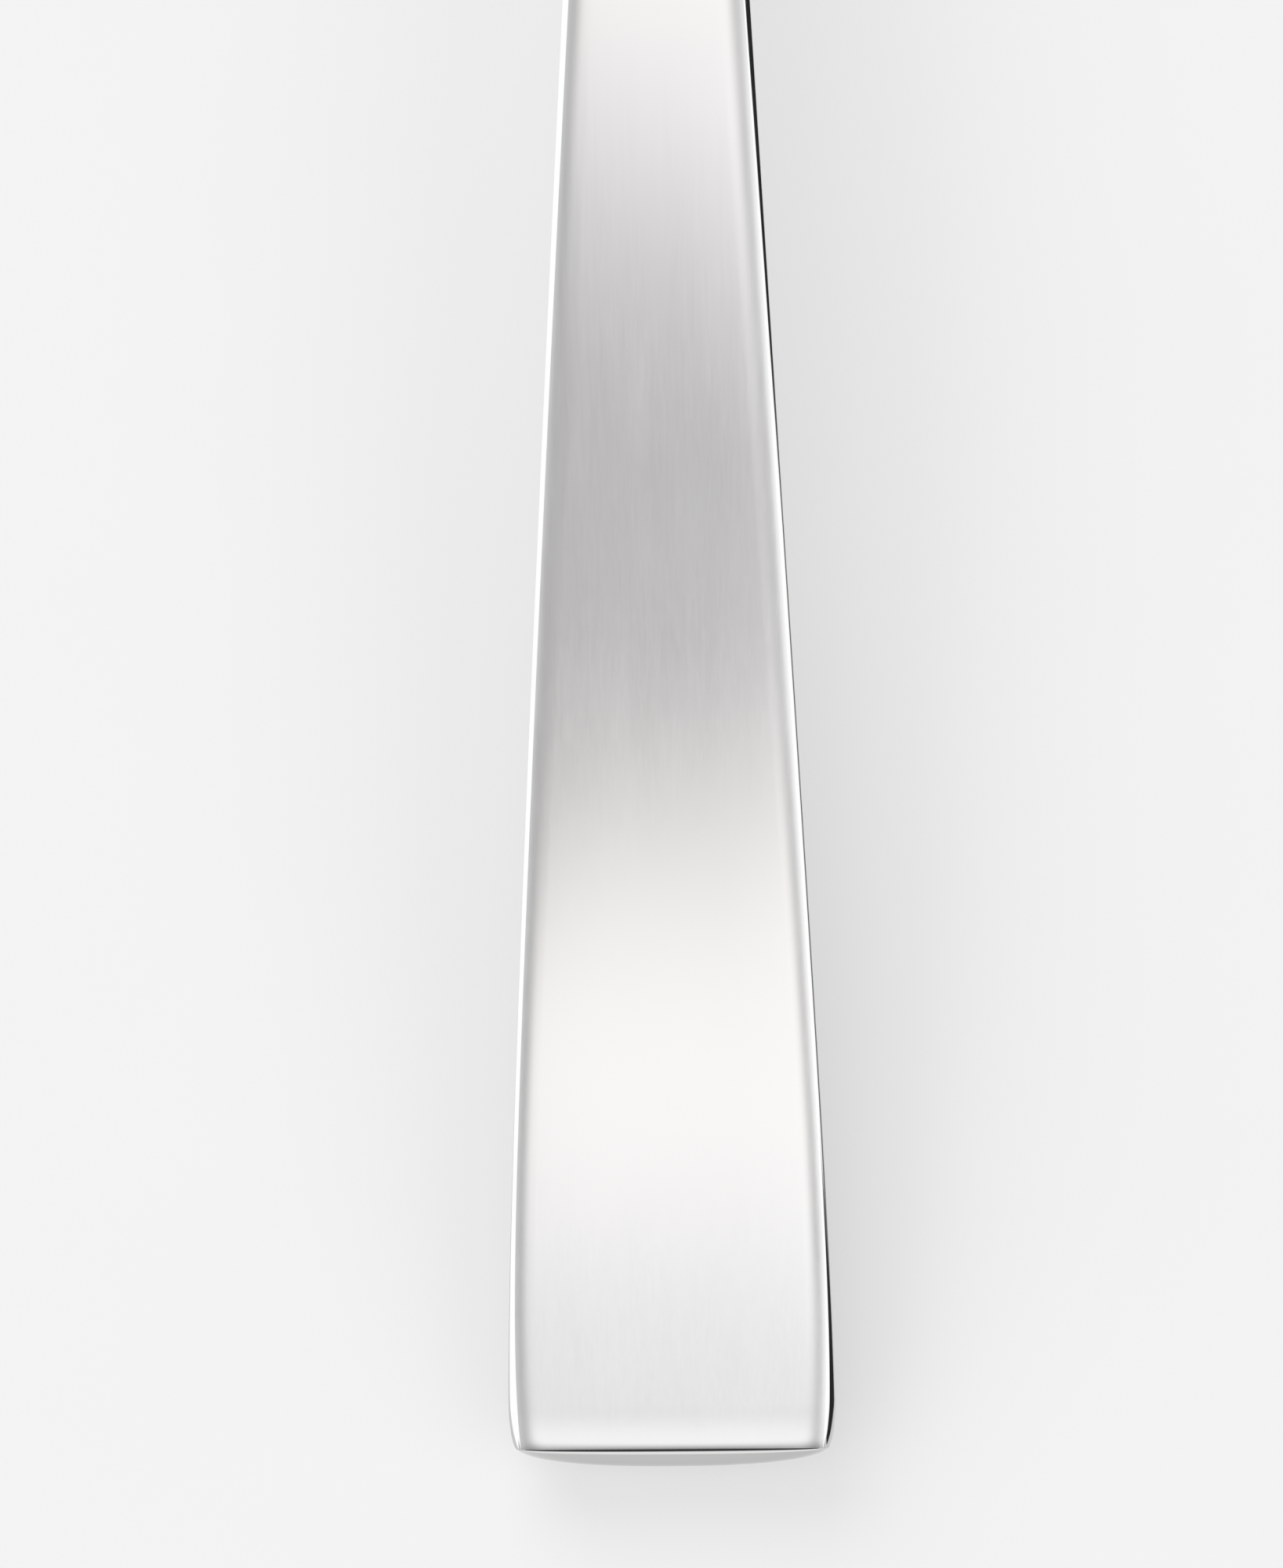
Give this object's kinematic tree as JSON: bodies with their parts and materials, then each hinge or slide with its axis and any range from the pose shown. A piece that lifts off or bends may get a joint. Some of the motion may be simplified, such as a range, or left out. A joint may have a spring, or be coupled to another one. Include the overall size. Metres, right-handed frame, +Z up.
{
  "type": "cake server",
  "caption": "Steel cake server with a leaf-shaped lifting blade, a cranked neck and a hollow flared handle with a flat satin face and polished edges.",
  "frame": {"origin": "middle of the server's length and width, on the table that it rests on", "axes": "+Y from the end of the handle to the tip of the blade, +Z up off the table"},
  "size_m": [0.058, 0.2684, 0.0198],
  "materials": {
    "polished_steel": "mirror-polished stainless steel",
    "satin_steel": "satin stainless steel with a fine lengthwise grain",
    "braze_alloy": "silver braze, as cast inside the handle and dressed flush at the mouth",
    "cured_cement": "matt cured handle cement"
  },
  "bodies": {
    "root": {"server_blade": "polished_steel", "handle_face": "satin_steel", "handle_back": "polished_steel", "seam_braze": "braze_alloy", "mouth_braze": "braze_alloy", "tang_cement": "cured_cement"}
  },
  "joints": []
}
